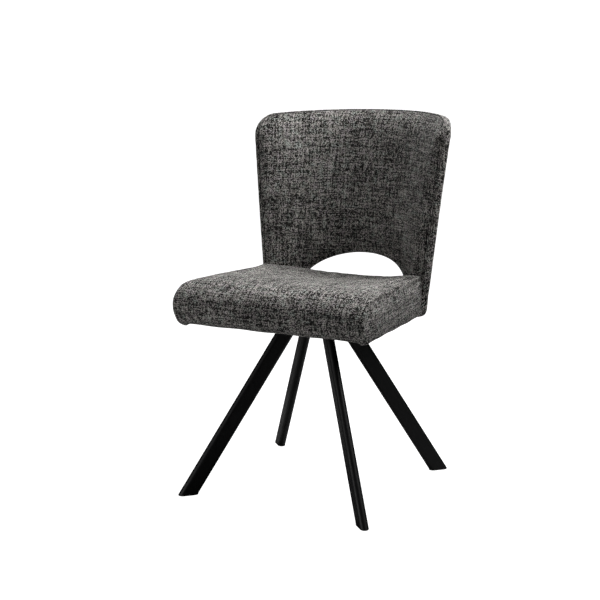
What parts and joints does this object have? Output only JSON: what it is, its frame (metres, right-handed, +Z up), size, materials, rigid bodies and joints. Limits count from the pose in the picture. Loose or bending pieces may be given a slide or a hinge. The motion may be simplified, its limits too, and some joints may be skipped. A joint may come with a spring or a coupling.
{
  "type": "dining chair",
  "caption": "Upholstered dining chair with a curved wrap-around back, a half-moon hand opening, and a seat that turns on splayed tube legs.",
  "frame": {"origin": "on the floor, under the middle of the chair's bounding box; the swivel axis stands 39.4 mm in front of it", "axes": "+Z up, front of the seat towards -Y, +X to the right when looking from the front"},
  "size_m": [0.521, 0.6027, 0.88],
  "materials": {
    "tweed": "matte",
    "foam": "matte",
    "black_lining": "matte",
    "black_powder_coat": "satin",
    "black_plastic": "matte",
    "nylon": "satin",
    "zinc_steel": "satin",
    "plywood": "matte",
    "beech": "matte"
  },
  "bodies": {
    "base": {"leg_front_left": "black_powder_coat", "leg_front_right": "black_powder_coat", "leg_back_left": "black_powder_coat", "leg_back_right": "black_powder_coat", "glide_front_left": "black_plastic", "glide_front_right": "black_plastic", "glide_back_left": "black_plastic", "glide_back_right": "black_plastic", "hub_plate": "black_powder_coat", "swivel_lower_plate": "zinc_steel", "base_bolts": "zinc_steel", "base_nuts": "zinc_steel", "bearing_ring": "nylon", "pivot_pin": "zinc_steel", "pivot_washer": "zinc_steel", "pivot_nut": "zinc_steel"},
    "seat": {"swivel_upper_plate": "zinc_steel", "pivot_bush": "nylon", "seat_bolts": "zinc_steel", "seat_washers": "zinc_steel", "tee_nuts": "zinc_steel", "seat_board": "plywood", "seat_foam": "foam", "seat_cover": "tweed", "seat_side_left": "tweed", "seat_side_right": "tweed", "dust_cover": "black_lining", "staples": "zinc_steel", "back_rail": "beech", "rail_screws": "zinc_steel", "back_bolts": "zinc_steel", "back_shell": "plywood", "back_foam": "foam", "back_wadding": "foam", "back_front_cover": "tweed", "back_rear_cover": "tweed", "hole_edging": "tweed", "edge_welt": "tweed"}
  },
  "joints": [
    {"name": "seat_swivel", "type": "hinge", "parent": "base", "child": "seat", "pos_m": [0, -0.0394, 0.392], "axis": [0, 0, 1], "continuous": true}
  ]
}
